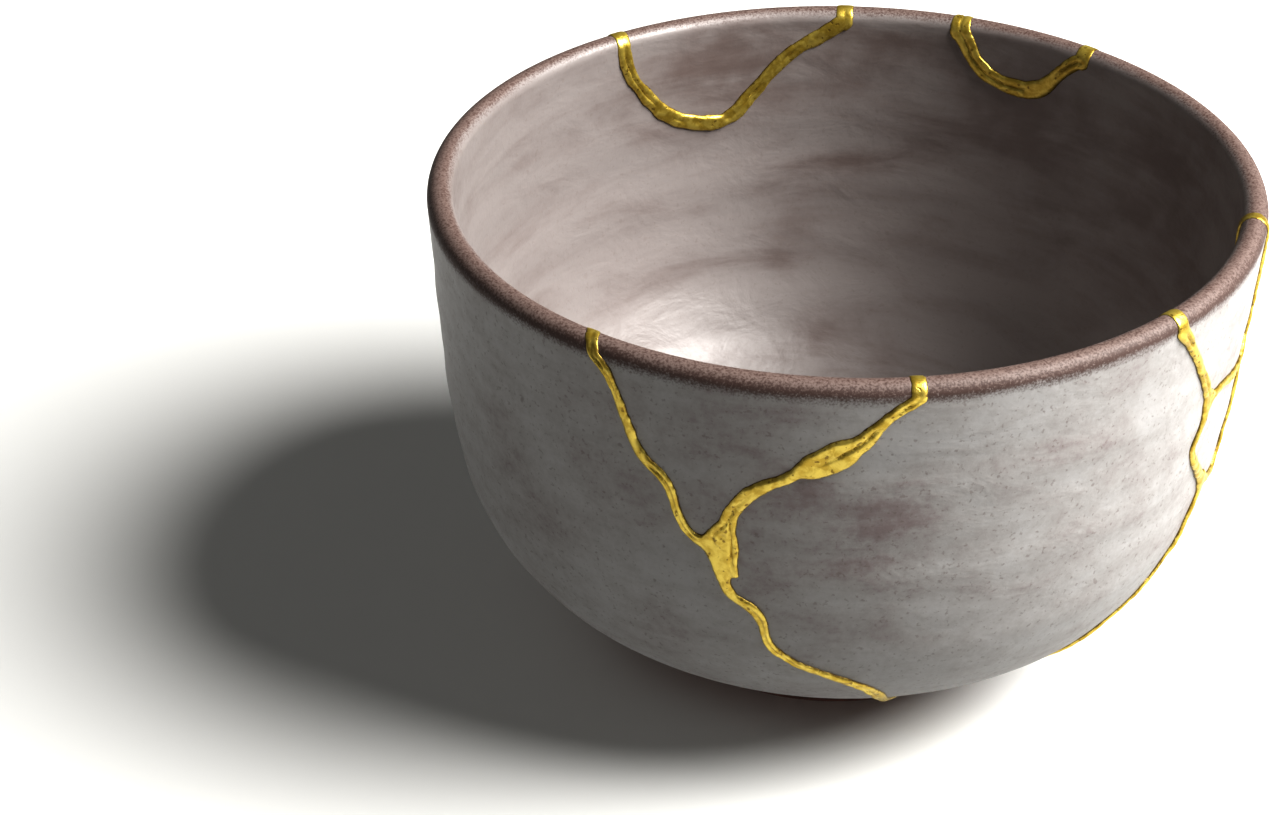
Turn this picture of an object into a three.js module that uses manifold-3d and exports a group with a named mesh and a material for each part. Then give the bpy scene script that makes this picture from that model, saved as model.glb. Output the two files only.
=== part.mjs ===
// A thrown tea bowl that broke and was mended with gold lacquer: seven fired-clay sherds, and three
// networks of gold that fill the cracks through the wall and stand proud of the glaze on both faces.
// Millimetres, +Z up. The origin is the centre of the foot ring's underside, and the crack that runs
// to the foot faces -Y.
import * as THREE from "three";
import { mergeVertices } from "three/addons/utils/BufferGeometryUtils.js";
import Module from "manifold-3d";

const wasm = await Module();
wasm.setup();

// Driving dimensions of the bowl.
const HEIGHT = 74;
const RIM_RADIUS = 60;
const LIP_RADIUS = 1.85;
const LIP_HEIGHT = HEIGHT - LIP_RADIUS;
const FLOOR_HEIGHT = 9.5;
const FOOT_RADIUS = 30;
const FOOT_TAPER = 0.6;
const FOOT_WIDTH = 4.2;
const FOOT_HEIGHT = 5;
const SHOULDER_RADIUS = 31.5;
const SHOULDER_HEIGHT = 5.6;
const RECESS_HEIGHT = 3.8;

// The lip isn't a true circle: how far it is pulled out between the axes and along them, fading to
// nothing at the shoulder.
const PULL_BETWEEN_AXES = 1.39;
const PULL_ALONG_AXES = -0.31;

// The walls are one Bezier curve each: handles as [radius, height].
const OUTER_HANDLES = [
  [57.1, 30],
  [59.3, 18],
];
const INNER_HANDLES = [
  [55.2, 23],
  [49, FLOOR_HEIGHT],
];

// How fine the turned faces are.
const TURN_STEPS = 44;
const OUTER_STEPS = 10;
const INNER_STEPS = 14;
const LIP_STEPS = 4;
const STEP_LENGTH = 7;
const HALVINGS = 30;

// The gold: a thin filling in the crack, a wider bead on each face, and the gap round the filling.
const FILLING_WIDTH = 0.7;
const FILLING_GAP = 0.25;
const CUT_REACH = 3;
const BEAD_HEIGHT = 0.9;
const BEAD_CLEARANCE = 0.3;

// A bead's outline from right to left: shares of its width across and of its height.
const BEAD_OUTLINE = [
  [0.5, 0],
  [0.36, 0.7],
  [0, 1],
  [-0.36, 0.7],
  [-0.5, 0],
];

// Places over the lip, from 0 at the outer wall to 1 at the inner one, where a crack's two faces
// draw together, and where the bead that bridges them lies.
const LIP_CROSSINGS = [0.2, 0.4];
const LIP_BRIDGE = [0.25, 0.375, 0.5, 0.625, 0.75];

// Crack routes on the outer face. Each point is [angle in degrees, height, bead width, lean], where
// the lean turns the inner end of the crack round the bowl and is left out where it is zero.
const FRONT_JOIN = [-103.4, 46.4, 3.4];
const RIGHT_UPPER_JOIN = [-28.4, 55.6, 2.2];
const RIGHT_LOWER_JOIN = [-22.9, 39.2, 2.4];
const RIGHT_RIM_JOIN = [-11, 53.4, 1.7];
const JOINS = [FRONT_JOIN, RIGHT_UPPER_JOIN, RIGHT_LOWER_JOIN, RIGHT_RIM_JOIN];
const ROUTES = {
  gold_front_seams: [
    [
      [-120.3, LIP_HEIGHT, 2, -0.9],
      [-119.6, 70, 1.9, -0.7],
      [-117.4, 66.4, 1.6],
      [-114.6, 60, 1.6],
      [-113, 57.9, 1.6],
      [-109.9, 55, 1.6],
      [-107.9, 48.8, 1.6],
      [-106.3, 47.1, 1.6],
      FRONT_JOIN,
    ],
    [
      [-79.8, LIP_HEIGHT, 2.2],
      [-82.5, 70.2, 1.8],
      [-84.5, 67.9, 2],
      [-87.6, 64.4, 3.6],
      [-91.2, 61.9, 3.6],
      [-93.4, 60.8, 1.8],
      [-97.7, 57.7, 1.8],
      [-99.8, 56.2, 2],
      [-101.3, 53.6, 2],
      [-102.8, 50.4, 2.4],
      FRONT_JOIN,
    ],
    [
      FRONT_JOIN,
      [-102.9, 42.4, 2.7],
      [-102, 38.8, 1.7],
      [-98.1, 36.2, 1.8],
      [-97.1, 31, 1.6],
      [-95.6, 28.7, 1.6],
      [-93, 26.9, 1.5],
      [-85.7, 23, 1.5],
      [-80, 17.8, 2],
      [-77.4, 13.2, 1.6],
      [-72, 9.6, 1.5],
      [-64, 8.4, 1.5],
      [-56, 9, 1.5],
      [-49.5, 11.8, 1.5],
      [-40.5, 18.8, 1.5],
      [-29, 25.7, 1.5],
      [-26.8, 28.6, 1.5],
      [-24.2, 34.2, 1.7],
      RIGHT_LOWER_JOIN,
    ],
    [
      [-40, LIP_HEIGHT, 2.3],
      [-38.3, 70, 1.9],
      [-34.6, 64.9, 1.7],
      RIGHT_UPPER_JOIN,
    ],
    [
      RIGHT_UPPER_JOIN,
      [-29.2, 52.1, 1.6],
      [-31.1, 48.9, 1.6],
      [-29.4, 46, 1.6],
      RIGHT_LOWER_JOIN,
    ],
    [
      RIGHT_UPPER_JOIN,
      [-25.6, 55.9, 1.5],
      [-17, 54.2, 1.5],
      RIGHT_RIM_JOIN,
      [-8.4, 56.4, 1.5],
      [-7.2, 62, 1.5],
      [-7.8, LIP_HEIGHT, 1.9, 0.8],
    ],
    [
      RIGHT_LOWER_JOIN,
      [-20, 37.9, 1.5],
      [-16.6, 37.4, 1.5],
      [-12.4, 41.6, 1.5],
      RIGHT_RIM_JOIN,
    ],
  ],
  gold_back_left_seam: [
    [
      [131.2, LIP_HEIGHT, 2.6],
      [131.2, 70.3, 2.4],
      [129.5, 66.4, 2.4],
      [124.1, 59.5, 2.6],
      [120.3, 57, 2.7],
      [116.5, 55.8, 2.7],
      [112.5, 55.6, 2.6],
      [109.6, 57, 2.5],
      [105, 62.8, 2.3],
      [101.7, 66.1, 2.3],
      [94.4, 70.4, 2.4],
      [92, LIP_HEIGHT, 2.6],
    ],
  ],
  gold_back_right_seam: [
    [
      [73.2, LIP_HEIGHT, 2.6],
      [70.8, 68.2, 2.5],
      [68.3, 65.9, 2.5],
      [64.7, 64.7, 2.5],
      [61.2, 64.6, 3],
      [58.3, 65.6, 3],
      [56.3, 68.2, 2.5],
      [52, LIP_HEIGHT, 2.6],
    ],
  ],
};

// A point of each sherd's outer face: [angle, height].
const SHERDS = {
  bowl_body: [170, 40],
  sherd_front: [-103, 64],
  sherd_front_right: [-65, 50],
  sherd_right_rim: [-25, 66],
  sherd_right_small: [-22, 50],
  sherd_back_left: [115, 66],
  sherd_back_right: [63, 70],
};

const glaze = new THREE.MeshStandardMaterial({ color: 0xa9a3a1, roughness: 0.5, metalness: 0 });
const gold = new THREE.MeshStandardMaterial({ color: 0xc9a227, roughness: 0.4, metalness: 1 });

// ---- The turned bowl: its section is a list of Vector2(radius, height). ----

function wallCurve(top, handles, bottom) {
  const points = [top, ...handles, bottom].map(([radius, height]) => new THREE.Vector2(radius, height));
  return new THREE.CubicBezierCurve(...points);
}

const LIP_MIDDLE = RIM_RADIUS - LIP_RADIUS;
const outerWall = wallCurve(
  [RIM_RADIUS, LIP_HEIGHT],
  OUTER_HANDLES,
  [SHOULDER_RADIUS, SHOULDER_HEIGHT],
);
const innerWall = wallCurve(
  [LIP_MIDDLE - LIP_RADIUS, LIP_HEIGHT],
  INNER_HANDLES,
  [0, FLOOR_HEIGHT],
);

// A point of the lip's round, from 0 at the outer wall over the top to 1 at the inner wall.
function lipPoint(share) {
  const turn = Math.PI * share;
  const normal = new THREE.Vector2(Math.cos(turn), Math.sin(turn));
  return { at: new THREE.Vector2(LIP_MIDDLE, LIP_HEIGHT).addScaledVector(normal, LIP_RADIUS), normal };
}

function footPoints() {
  const recess = FOOT_RADIUS - FOOT_WIDTH;
  const outline = [
    [0, RECESS_HEIGHT],
    [recess - FOOT_TAPER, RECESS_HEIGHT],
    [recess, 0],
    [FOOT_RADIUS - FOOT_TAPER, 0],
    [FOOT_RADIUS, FOOT_HEIGHT],
  ];
  return outline.map(([radius, height]) => new THREE.Vector2(radius, height));
}

function solid(vertices, triangles) {
  const mesh = new wasm.Mesh({
    numProp: 3,
    vertProperties: new Float32Array(vertices),
    triVerts: new Uint32Array(triangles),
  });
  return new wasm.Manifold(mesh);
}

// The whole bowl. Triangles that fold up on the axis are left out.
function turnedBowl() {
  const lip = Array.from({ length: LIP_STEPS - 1 }, (_, i) => lipPoint((i + 1) / LIP_STEPS).at);
  const section = [
    ...footPoints(),
    ...outerWall.getPoints(OUTER_STEPS).reverse(),
    ...lip,
    ...innerWall.getPoints(INNER_STEPS),
  ];
  const turned = new THREE.LatheGeometry(section, TURN_STEPS).rotateX(Math.PI / 2);
  turned.deleteAttribute("normal");
  turned.deleteAttribute("uv");
  const merged = mergeVertices(turned);
  const corners = merged.index.array;
  const triangles = [];
  for (let i = 0; i < corners.length; i += 3) {
    const [a, b, c] = corners.slice(i, i + 3);
    if (a !== b && b !== c && c !== a) triangles.push(a, b, c);
  }
  return solid(merged.attributes.position.array, triangles);
}

// ---- Places on the wall: a point and the normal that leaves the clay there. ----

// The share along a wall, from its top, where a falling measure of its points reaches zero.
function shareWhere(wall, measure) {
  let [above, below] = [0, 1];
  for (let i = 0; i < HALVINGS; i++) {
    const middle = (above + below) / 2;
    if (measure(wall.getPoint(middle)) > 0) above = middle;
    else below = middle;
  }
  return above;
}

function wallPlace(wall, share, outward) {
  const along = wall.getTangent(share);
  return { at: wall.getPoint(share), normal: new THREE.Vector2(-along.y, along.x).multiplyScalar(outward) };
}

// A place of the section, turned to its angle round the bowl.
function turnedTo(angle, { at, normal }) {
  const turn = THREE.MathUtils.degToRad(angle);
  const spin = ({ x, y }) => new THREE.Vector3(x * Math.cos(turn), x * Math.sin(turn), y);
  return { at: spin(at), normal: spin(normal) };
}

// Where a crack passes through the wall, square to its outer face.
function crossing([angle, height, width, lean = 0]) {
  const outer = wallPlace(outerWall, shareWhere(outerWall, ({ y }) => y - height), 1);
  const upward = new THREE.Vector2(-outer.normal.y, outer.normal.x);
  const rise = (point) => point.clone().sub(outer.at).dot(upward);
  const inner = wallPlace(innerWall, shareWhere(innerWall, rise), -1);
  return { width, outer: turnedTo(angle, outer), inner: turnedTo(angle + lean, inner) };
}

const onRim = ([, height]) => height === LIP_HEIGHT;

function lipCrossings([angle, , width, lean = 0]) {
  return LIP_CROSSINGS.map((share) => ({
    width,
    outer: turnedTo(angle + lean * share, lipPoint(share)),
    inner: turnedTo(angle + lean * (1 - share), lipPoint(1 - share)),
  }));
}

// The route with points put in between, so that no step is longer than STEP_LENGTH.
function stepped(route) {
  const between = (from, to, share) =>
    [0, 1, 2, 3].map((k) => THREE.MathUtils.lerp(from[k] ?? 0, to[k] ?? 0, share));
  const stretches = route.slice(1).map((next, i) => {
    const run = crossing(route[i]).outer.at.distanceTo(crossing(next).outer.at);
    const count = Math.ceil(run / STEP_LENGTH);
    return Array.from({ length: count }, (_, step) => between(route[i], next, step / count));
  });
  return [...stretches.flat(), route.at(-1)];
}

function routeCrossings(route) {
  const [first, last] = [route[0], route.at(-1)];
  return [
    ...(onRim(first) ? lipCrossings(first).reverse() : []),
    ...stepped(route).map(crossing),
    ...(onRim(last) ? lipCrossings(last) : []),
  ];
}

// ---- Lofts: closed bodies through a row of outlines with equally many corners. ----

// The flat shape is one outline laid flat, anticlockwise, for the triangles of the two ends.
function loft(outlines, flatShape) {
  const count = flatShape.length;
  const last = count * (outlines.length - 1);
  const triangles = [];
  for (const [a, b, c] of THREE.ShapeUtils.triangulateShape(flatShape, [])) {
    triangles.push(a, c, b, last + a, last + b, last + c);
  }
  for (let i = 0; i < last; i += count) {
    for (let k = 0; k < count; k++) {
      const [a, b] = [i + k, i + ((k + 1) % count)];
      triangles.push(a, b, b + count, a, b + count, a + count);
    }
  }
  return solid(outlines.flat().flatMap((corner) => corner.toArray()), triangles);
}

// The direction across a row of places, in the face, at one of them.
function acrossAt(places, i) {
  const before = places[Math.max(i - 1, 0)].at;
  const after = places[Math.min(i + 1, places.length - 1)].at;
  return places[i].normal.clone().cross(after.clone().sub(before)).normalize();
}

function corner({ at, normal }, across, [distance, rise]) {
  return at.clone().addScaledVector(across, distance).addScaledVector(normal, rise);
}

// A body through the wall. Its outline on the outer face, for a bead width, is a list of
// [distance across, rise] from right to left, and the inner face has the same the other way round.
function loftThroughWall(crossings, outlineFor) {
  const outerPlaces = crossings.map(({ outer }) => outer);
  const outlines = crossings.map(({ outer, inner, width }, i) => {
    const across = acrossAt(outerPlaces, i);
    return [
      ...outlineFor(width).map((point) => corner(outer, across, point)),
      ...outlineFor(width).map(([distance, rise]) => corner(inner, across, [-distance, rise])),
    ];
  });
  const flatShape = outlineFor(1).map(([distance, rise]) => new THREE.Vector2(distance, 1 + rise));
  const opposite = flatShape.map((point) => point.clone().negate());
  return loft(outlines, [...flatShape, ...opposite]);
}

function beadOutline(width) {
  const rise = BEAD_HEIGHT - BEAD_CLEARANCE;
  return BEAD_OUTLINE.map(([side, share]) => [side * width, BEAD_CLEARANCE + share * rise]);
}

// The thin filling, which widens into a bead once it is clear of the clay.
function seamOutline(width) {
  const edge = FILLING_WIDTH / 2;
  return [[edge, BEAD_CLEARANCE], ...beadOutline(width), [-edge, BEAD_CLEARANCE]];
}

function cutOutline() {
  const edge = FILLING_WIDTH / 2 + FILLING_GAP;
  return [
    [edge, BEAD_CLEARANCE],
    [edge, CUT_REACH],
    [-edge, CUT_REACH],
    [-edge, BEAD_CLEARANCE],
  ];
}

// Where seams join, a chip is lost and the gold is as wide through the wall as on the glaze.
const plugOutline = (width) => [
  [width / 2, BEAD_HEIGHT],
  [-width / 2, BEAD_HEIGHT],
];
const plugHoleOutline = (width) => [
  [width / 2 + FILLING_GAP, CUT_REACH],
  [-width / 2 - FILLING_GAP, CUT_REACH],
];

function plugCrossings([angle, height, width], gap) {
  const reach = width / 2 + gap;
  return [height - reach, height + reach].map((level) => crossing([angle, level, width]));
}

// The bead on top of the lip, which bridges a seam's two faces.
function lipBridge([angle, , width, lean = 0]) {
  const places = LIP_BRIDGE.map((share) => turnedTo(angle + lean * share, lipPoint(share)));
  const outlines = places.map((place, i) =>
    beadOutline(width).map((point) => corner(place, acrossAt(places, i), point)),
  );
  return loft(outlines, beadOutline(1).map((point) => new THREE.Vector2(...point)));
}

const joined = (solids) => solids.reduce((all, one) => all.add(one));

function goldNetwork(routes) {
  const seams = routes.map((route) => loftThroughWall(routeCrossings(route), seamOutline));
  const ends = routes.flatMap((route) => [route[0], route.at(-1)]);
  const plugs = JOINS.filter((join) => ends.includes(join)).map((join) =>
    loftThroughWall(plugCrossings(join, 0), plugOutline),
  );
  return joined([...seams, ...plugs, ...ends.filter(onRim).map(lipBridge)]);
}

// The bowl parted along every crack.
function brokenBowl() {
  const routes = Object.values(ROUTES).flat();
  const cuts = routes.map((route) => loftThroughWall(routeCrossings(route), cutOutline));
  const holes = JOINS.map((join) =>
    loftThroughWall(plugCrossings(join, FILLING_GAP), plugHoleOutline),
  );
  return turnedBowl().subtract(joined([...cuts, ...holes])).decompose();
}

// The piece that a mark on the outer face lies in: a short bar through the wall there.
function sherdAt(pieces, [angle, height]) {
  const ends = [[angle, height, 1], [angle + 1, height, 1]];
  const mark = loftThroughWall(ends.map(crossing), cutOutline);
  return pieces.find((piece) => !piece.intersect(mark).isEmpty());
}

// A point of the round bowl, moved to where the pulled one has it.
function pulled([x, y, z]) {
  const turn = Math.atan2(y, x);
  const fade = THREE.MathUtils.clamp((z - SHOULDER_HEIGHT) / (LIP_HEIGHT - SHOULDER_HEIGHT), 0, 1);
  const pull = PULL_BETWEEN_AXES * Math.sin(2 * turn) + PULL_ALONG_AXES * Math.cos(2 * turn);
  const growth = 1 + (fade * pull) / RIM_RADIUS;
  return [x * growth, y * growth, z];
}

function meshOf(name, made, material) {
  const { numProp, numVert, vertProperties, triVerts } = made.getMesh();
  const positions = new Float32Array(3 * numVert);
  for (let i = 0; i < numVert; i++) {
    positions.set(pulled(vertProperties.subarray(i * numProp, i * numProp + 3)), 3 * i);
  }
  const geometry = new THREE.BufferGeometry();
  geometry.setAttribute("position", new THREE.BufferAttribute(positions, 3));
  geometry.setIndex(new THREE.BufferAttribute(new Uint32Array(triVerts), 1));
  geometry.computeVertexNormals();
  const mesh = new THREE.Mesh(geometry, material);
  mesh.name = name;
  return mesh;
}

const mendedBowl = new THREE.Group();
const pieces = brokenBowl();
for (const [name, mark] of Object.entries(SHERDS)) {
  mendedBowl.add(meshOf(name, sherdAt(pieces, mark), glaze));
}
for (const [name, routes] of Object.entries(ROUTES)) {
  mendedBowl.add(meshOf(name, goldNetwork(routes), gold));
}

export default mendedBowl;
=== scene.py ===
"""A thrown tea bowl mended with gold lacquer: seven glazed sherds and three networks of gold.

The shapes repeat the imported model's section and crack routes, in millimetres, and add what its
faceted solids leave out: throwing rings, and gold that beads up, pools and thins along each crack.
A place on the bowl is an angle round it and a signed distance along its section, which is zero on
top of the lip, positive down the outside and negative inside.
"""

import itertools
import math

import bpy
import numpy as np
from mathutils import Matrix, Vector, kdtree


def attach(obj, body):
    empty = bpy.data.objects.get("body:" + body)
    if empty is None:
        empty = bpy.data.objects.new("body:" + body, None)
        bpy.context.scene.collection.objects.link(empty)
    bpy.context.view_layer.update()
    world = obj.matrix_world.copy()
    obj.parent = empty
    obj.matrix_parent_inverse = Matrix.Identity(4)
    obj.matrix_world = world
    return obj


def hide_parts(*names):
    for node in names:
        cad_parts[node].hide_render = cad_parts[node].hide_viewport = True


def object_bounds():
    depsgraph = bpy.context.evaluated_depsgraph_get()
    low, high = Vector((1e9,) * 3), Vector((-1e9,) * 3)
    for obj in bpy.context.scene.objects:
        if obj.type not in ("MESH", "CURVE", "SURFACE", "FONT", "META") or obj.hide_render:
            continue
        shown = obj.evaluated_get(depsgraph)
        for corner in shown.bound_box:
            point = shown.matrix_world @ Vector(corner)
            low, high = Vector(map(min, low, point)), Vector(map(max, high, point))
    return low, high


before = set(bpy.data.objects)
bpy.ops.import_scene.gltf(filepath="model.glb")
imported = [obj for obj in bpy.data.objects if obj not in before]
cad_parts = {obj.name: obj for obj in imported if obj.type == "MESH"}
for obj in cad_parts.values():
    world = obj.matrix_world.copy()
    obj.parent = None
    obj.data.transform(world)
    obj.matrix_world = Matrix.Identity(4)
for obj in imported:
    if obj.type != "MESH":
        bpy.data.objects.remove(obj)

CAD_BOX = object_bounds()
MM = 0.001

# ---- The bowl's section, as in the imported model. ----
HEIGHT = 74.0
RIM_RADIUS = 60.0
LIP_RADIUS = 1.85
LIP_HEIGHT = HEIGHT - LIP_RADIUS
FLOOR_HEIGHT = 9.5
SHOULDER = (31.5, 5.6)
OUTER_HANDLES = [(57.1, 30.0), (59.3, 18.0)]
INNER_HANDLES = [(55.2, 23.0), (49.0, FLOOR_HEIGHT)]
FOOT = [SHOULDER, (30.0, 5.0), (29.4, 0.0), (25.8, 0.0), (25.2, 3.8), (0.0, 3.8)]
FOOT_ROUNDING = 9
FOOT_ROUNDING_STEP = 0.3
PULL_BETWEEN_AXES = 1.39
PULL_ALONG_AXES = -0.31

# ---- Crack routes on the outer face: [angle, height, bead width, lean of the inner end]. ----
FRONT_JOIN = (-103.4, 46.4, 3.0)
RIGHT_UPPER_JOIN = (-28.4, 55.6, 1.9)
RIGHT_LOWER_JOIN = (-22.9, 39.2, 2.2)
RIGHT_RIM_JOIN = (-11.0, 53.4, 1.5)
ROUTES = {
    "gold_front_seams": [
        [
            (-120.0, LIP_HEIGHT, 1.9, -3.2),
            (-118.4, 70.8, 1.7, -2.4),
            (-117.2, 67.8, 1.4, -1.0),
            (-115.6, 63.7, 1.4),
            (-114.6, 60.0, 1.5),
            (-113.0, 57.9, 1.6),
            (-111.0, 56.4, 1.6),
            (-109.9, 55.0, 1.5),
            (-109.0, 51.3, 1.3),
            (-107.9, 48.8, 1.4),
            (-106.3, 47.1, 1.4),
            FRONT_JOIN,
        ],
        [
            (-79.8, LIP_HEIGHT, 2.1),
            (-80.8, 71.2, 1.8),
            (-82.5, 70.2, 1.6),
            (-84.5, 67.9, 1.9),
            (-85.9, 66.1, 2.7),
            (-87.6, 64.4, 3.6),
            (-89.3, 63.0, 3.9),
            (-91.2, 61.9, 3.7),
            (-92.6, 61.3, 2.6),
            (-93.4, 60.8, 1.6),
            (-95.2, 59.4, 1.6),
            (-97.7, 57.7, 1.8),
            (-99.8, 56.2, 2.0),
            (-101.3, 53.6, 1.9),
            (-102.6, 50.6, 1.9),
            (-104.8, 48.2, 1.6),
            FRONT_JOIN,
        ],
        [
            FRONT_JOIN,
            (-102.9, 42.4, 2.7),
            (-102.5, 40.3, 1.8),
            (-102.0, 38.8, 1.5),
            (-101.0, 37.9, 1.6),
            (-99.7, 37.5, 1.8),
            (-98.1, 36.2, 1.8),
            (-97.6, 33.9, 1.6),
            (-97.1, 31.0, 1.5),
            (-95.6, 28.7, 1.5),
            (-93.0, 26.9, 1.3),
            (-89.4, 24.9, 1.2),
            (-85.7, 23.0, 1.3),
            (-82.6, 20.8, 1.8),
            (-80.0, 17.8, 2.0),
            (-77.4, 13.2, 1.5),
            (-72.0, 9.6, 1.4),
            (-64.0, 8.4, 1.4),
            (-56.0, 9.0, 1.4),
            (-49.5, 11.8, 1.4),
            (-44.5, 15.5, 1.4),
            (-40.5, 18.8, 1.4),
            (-36.5, 21.2, 1.4),
            (-32.5, 23.2, 1.4),
            (-29.0, 25.7, 1.4),
            (-26.8, 28.6, 1.5),
            (-25.4, 31.6, 1.6),
            (-24.2, 34.2, 1.7),
            (-22.8, 36.8, 1.9),
            RIGHT_LOWER_JOIN,
        ],
        [
            (-40.0, LIP_HEIGHT, 2.3),
            (-38.3, 70.0, 1.9),
            (-34.6, 64.9, 1.7),
            (-32.0, 61.1, 1.6),
            RIGHT_UPPER_JOIN,
        ],
        [
            RIGHT_UPPER_JOIN,
            (-29.2, 52.1, 1.5),
            (-31.1, 48.9, 1.6),
            (-29.4, 46.0, 1.6),
            (-26.5, 43.0, 1.6),
            RIGHT_LOWER_JOIN,
        ],
        [
            RIGHT_UPPER_JOIN,
            (-25.6, 55.9, 1.4),
            (-21.7, 55.2, 1.4),
            (-17.0, 54.2, 1.5),
            RIGHT_RIM_JOIN,
            (-8.4, 56.4, 1.5),
            (-7.2, 62.0, 1.5),
            (-7.4, 69.0, 1.7),
            (-7.8, LIP_HEIGHT, 1.9, 0.8),
        ],
        [
            RIGHT_LOWER_JOIN,
            (-20.0, 37.9, 1.5),
            (-16.6, 37.4, 1.5),
            (-13.9, 38.6, 1.5),
            (-12.4, 41.6, 1.5),
            (-11.6, 46.4, 1.5),
            RIGHT_RIM_JOIN,
        ],
    ],
    "gold_back_left_seam": [
        [
            (131.2, LIP_HEIGHT, 2.6),
            (131.2, 70.3, 2.4),
            (129.5, 66.4, 2.4),
            (127.1, 62.9, 2.5),
            (124.1, 59.5, 2.6),
            (120.3, 57.0, 2.7),
            (116.5, 55.8, 2.7),
            (112.5, 55.6, 2.6),
            (109.6, 57.0, 2.5),
            (107.5, 59.5, 2.4),
            (105.0, 62.8, 2.3),
            (101.7, 66.1, 2.3),
            (98.4, 68.2, 2.3),
            (94.4, 70.4, 2.4),
            (92.0, LIP_HEIGHT, 2.6),
        ],
    ],
    "gold_back_right_seam": [
        [
            (73.2, LIP_HEIGHT, 2.6),
            (72.2, 71.0, 2.5),
            (70.8, 68.2, 2.5),
            (68.3, 65.9, 2.5),
            (64.7, 64.7, 2.5),
            (61.2, 64.6, 3.0),
            (58.3, 65.6, 3.0),
            (56.3, 68.2, 2.5),
            (53.6, 71.0, 2.4),
            (52.0, LIP_HEIGHT, 2.6),
        ],
    ],
}

# Strokes of gold beside the cracks, on the outer face alone: [angle, height, width].
STROKES = {
    "gold_front_seams": [
        [(-102.0, 51.2, 1.5), (-101.8, 47.5, 1.9), (-101.7, 44.4, 1.7), (-101.2, 42.4, 0.9)],
        [(-104.2, 47.4, 2.6), (-103.2, 45.0, 2.8)],
    ],
}

# A place on the outer face of each sherd: angle and height.
SHERDS = {
    "bowl_body": (170.0, 40.0),
    "sherd_front": (-103.0, 64.0),
    "sherd_front_right": (-65.0, 50.0),
    "sherd_right_rim": (-25.0, 66.0),
    "sherd_right_small": (-22.0, 50.0),
    "sherd_back_left": (115.0, 66.0),
    "sherd_back_right": (63.0, 70.0),
}

# Darker clouds in the glaze, and inside some painted shade: [angle, height, half-width, half-height,
# strength].
OUTER_CLOUDS = [
    (-82.7, 52.6, 5.0, 4.5, 0.55),
    (-94.6, 55.4, 7.0, 5.0, 0.65),
    (-99.0, 45.2, 5.0, 6.5, 0.55),
    (-86.0, 46.0, 14.0, 3.0, 0.35),
    (-75.7, 41.0, 9.0, 3.0, 0.35),
    (-88.8, 35.2, 12.0, 2.5, 0.4),
    (-105.9, 63.5, 6.0, 5.0, 0.65),
    (-101.0, 70.0, 9.0, 2.5, 0.5),
    (-103.8, 29.0, 9.0, 3.0, 0.35),
    (-62.0, 60.0, 9.0, 3.0, 0.3),
    (-127.8, 41.7, 8.0, 4.0, 0.3),
    (-116.0, 52.0, 6.0, 6.0, 0.4),
]
# Inside, the clouds at 60 and 28 degrees are painted shade on the inner right wall that the right rim shades,
# and the one at 99.8 degrees darkens that shadow's edge; the rest are darker glaze.
INNER_CLOUDS_AND_SHADE = [
    (112.0, 67.0, 14.0, 7.0, 0.85),
    (88.0, 66.0, 13.0, 7.0, 0.6),
    (60.0, 62.0, 16.0, 12.0, 0.85),
    (28.0, 58.0, 18.0, 14.0, 0.7),
    (89.7, 48.1, 13.0, 2.2, 0.6),
    (99.8, 32.0, 5.0, 6.0, 0.5),
    (95.0, 20.0, 8.0, 4.0, 0.4),
]

# ---- How fine the meshes are: steps in millimetres, and angles in degrees. ----
CURVE_POINTS = 3000
LIP_POINTS = 200
SECTION_STEP = 0.05
TURN_STEPS = 384
WALL_STEP = 1.25
LIP_STEP = 0.34
LIP_REACH = 5.0
FOOT_STEP = 0.6
FOOT_MARGIN = 2.0
GOLD_STEP = 0.2
GOLD_MARGIN = 3.5
GOLD_INNER_REACH = 95.0
ROUTE_STEP = 0.5
ROUTE_SOFTENING = 6
RIM_CROSSING_POINTS = 12
SHERD_SHARP_ANGLE = 35.0
GOLD_SHARP_ANGLE = 60.0

# ---- Throwing rings: [height, spacing, share of the drift, phase]. ----
OUTER_RINGS = [(0.045, 1.15, 1.0, 0.0), (0.06, 2.3, 1.7, 1.0)]
INNER_RINGS = [(0.07, 1.7, 1.0, 0.0), (0.08, 3.1, -1.3, 0.0)]
# How the rings wander up and down: [amount, waves round the bowl, phase].
RING_DRIFT = [(0.9, 1, 0.6), (0.6, 2, 2.1)]
# Distances along the section where the rings start and are at their full height.
OUTER_RING_START = (4.0, 10.0)
INNER_RING_START = (4.0, 12.0)
# Depths in the clay between which the rings die out on a broken face.
RING_DEPTH = (0.3, 1.5)

# ---- The cracks and the gold. ----
CRACK_WIDTH = 0.4
CRACK_REACH = 1.6
FILLING_WIDTH = 0.3
GOLD_DEPTH = 0.25
LIP_SHARES = (0.12, 0.24, 0.36, 0.46)
BLEND_REACH = 0.9
BEAD_SHOULDER = 0.7
BEAD_HEIGHT = 0.5
LEAST_BEAD = 0.08
LIP_FLATTENING = 0.3
LIP_BAND = (1.0, 4.5)
FURROW_WIDTH = 0.2
FURROW_DEPTH = 0.3
FURROW_CELL = 5.0
FURROW_SEED = 23
FURROW_RANGE = (-0.2, 0.4)
LEAST_DEPTH = 0.01
EDGE_REACH = 1.0
SEAM_SPACING = 7.3
# Layers of noise: [amount, size of its lumps, seed].
WANDER_ROUND = [(0.18, 3.1, 11)]
WANDER_DOWN = [(0.18, 3.1, 12)]
SWELLING = [(0.12, 2.6, 13), (0.12, 6.5, 14)]
LUMPS = [(0.24, 2.3, 21), (0.14, 0.9, 22)]
RAGGED_EDGE = [(0.08, 1.5, 31), (0.07, 0.6, 32)]
CLOUD_GRAIN = [(0.35, 4.0, 41), (0.25, 1.8, 42)]

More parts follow.
